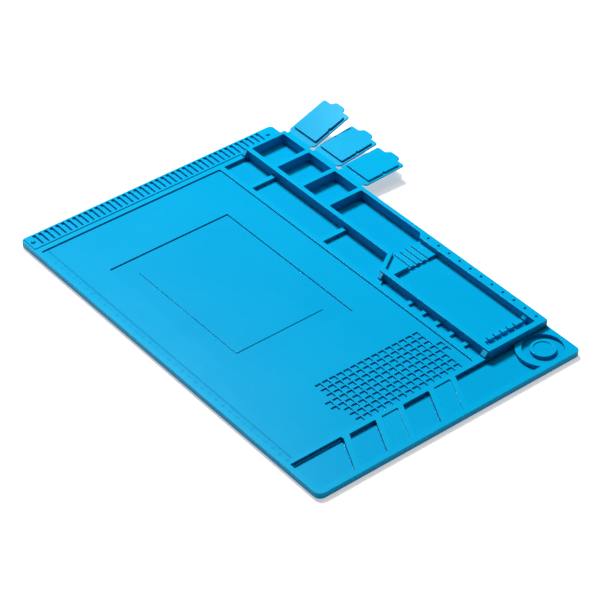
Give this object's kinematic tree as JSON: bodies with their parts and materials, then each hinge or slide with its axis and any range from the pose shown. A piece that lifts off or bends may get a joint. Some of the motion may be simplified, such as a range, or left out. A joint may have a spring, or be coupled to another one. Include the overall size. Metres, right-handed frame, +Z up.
{
  "type": "anti static bench mat",
  "caption": "Moulded soft bench mat with a work area, ruler, raised storage block with hinged lids, tool channels, pocket grid and end trays.",
  "frame": {"origin": "centre of the mat's underside, on the bench", "axes": "+X along the long side, from the comb strip to the end trays; +Y from the ruler side to the storage block and its lids; +Z up"},
  "size_m": [0.45, 0.3571, 0.0316],
  "materials": {
    "blue_rubber": "satin moulded silicone rubber, fine grain"
  },
  "bodies": {
    "root": {"mat": "blue_rubber"},
    "lid_a": {"lid_1": "blue_rubber"},
    "lid_b": {"lid_2": "blue_rubber"},
    "lid_c": {"lid_3": "blue_rubber"}
  },
  "joints": [
    {"name": "lid_a_hinge", "type": "hinge", "parent": "root", "child": "lid_a", "pos_m": [-0.1808, 0.152, 0.013], "axis": [1, 0, 0], "range_deg": [-30, 159], "stiffness_Nm_per_rad": 0.03, "springref_deg": 3.15},
    {"name": "lid_b_hinge", "type": "hinge", "parent": "root", "child": "lid_b", "pos_m": [-0.1402, 0.152, 0.013], "axis": [1, 0, 0], "range_deg": [-17, 172], "stiffness_Nm_per_rad": 0.03, "springref_deg": 3.15},
    {"name": "lid_c_hinge", "type": "hinge", "parent": "root", "child": "lid_c", "pos_m": [-0.0996, 0.152, 0.013], "axis": [1, 0, 0], "range_deg": [-12, 176], "stiffness_Nm_per_rad": 0.03, "springref_deg": 3.15}
  ]
}
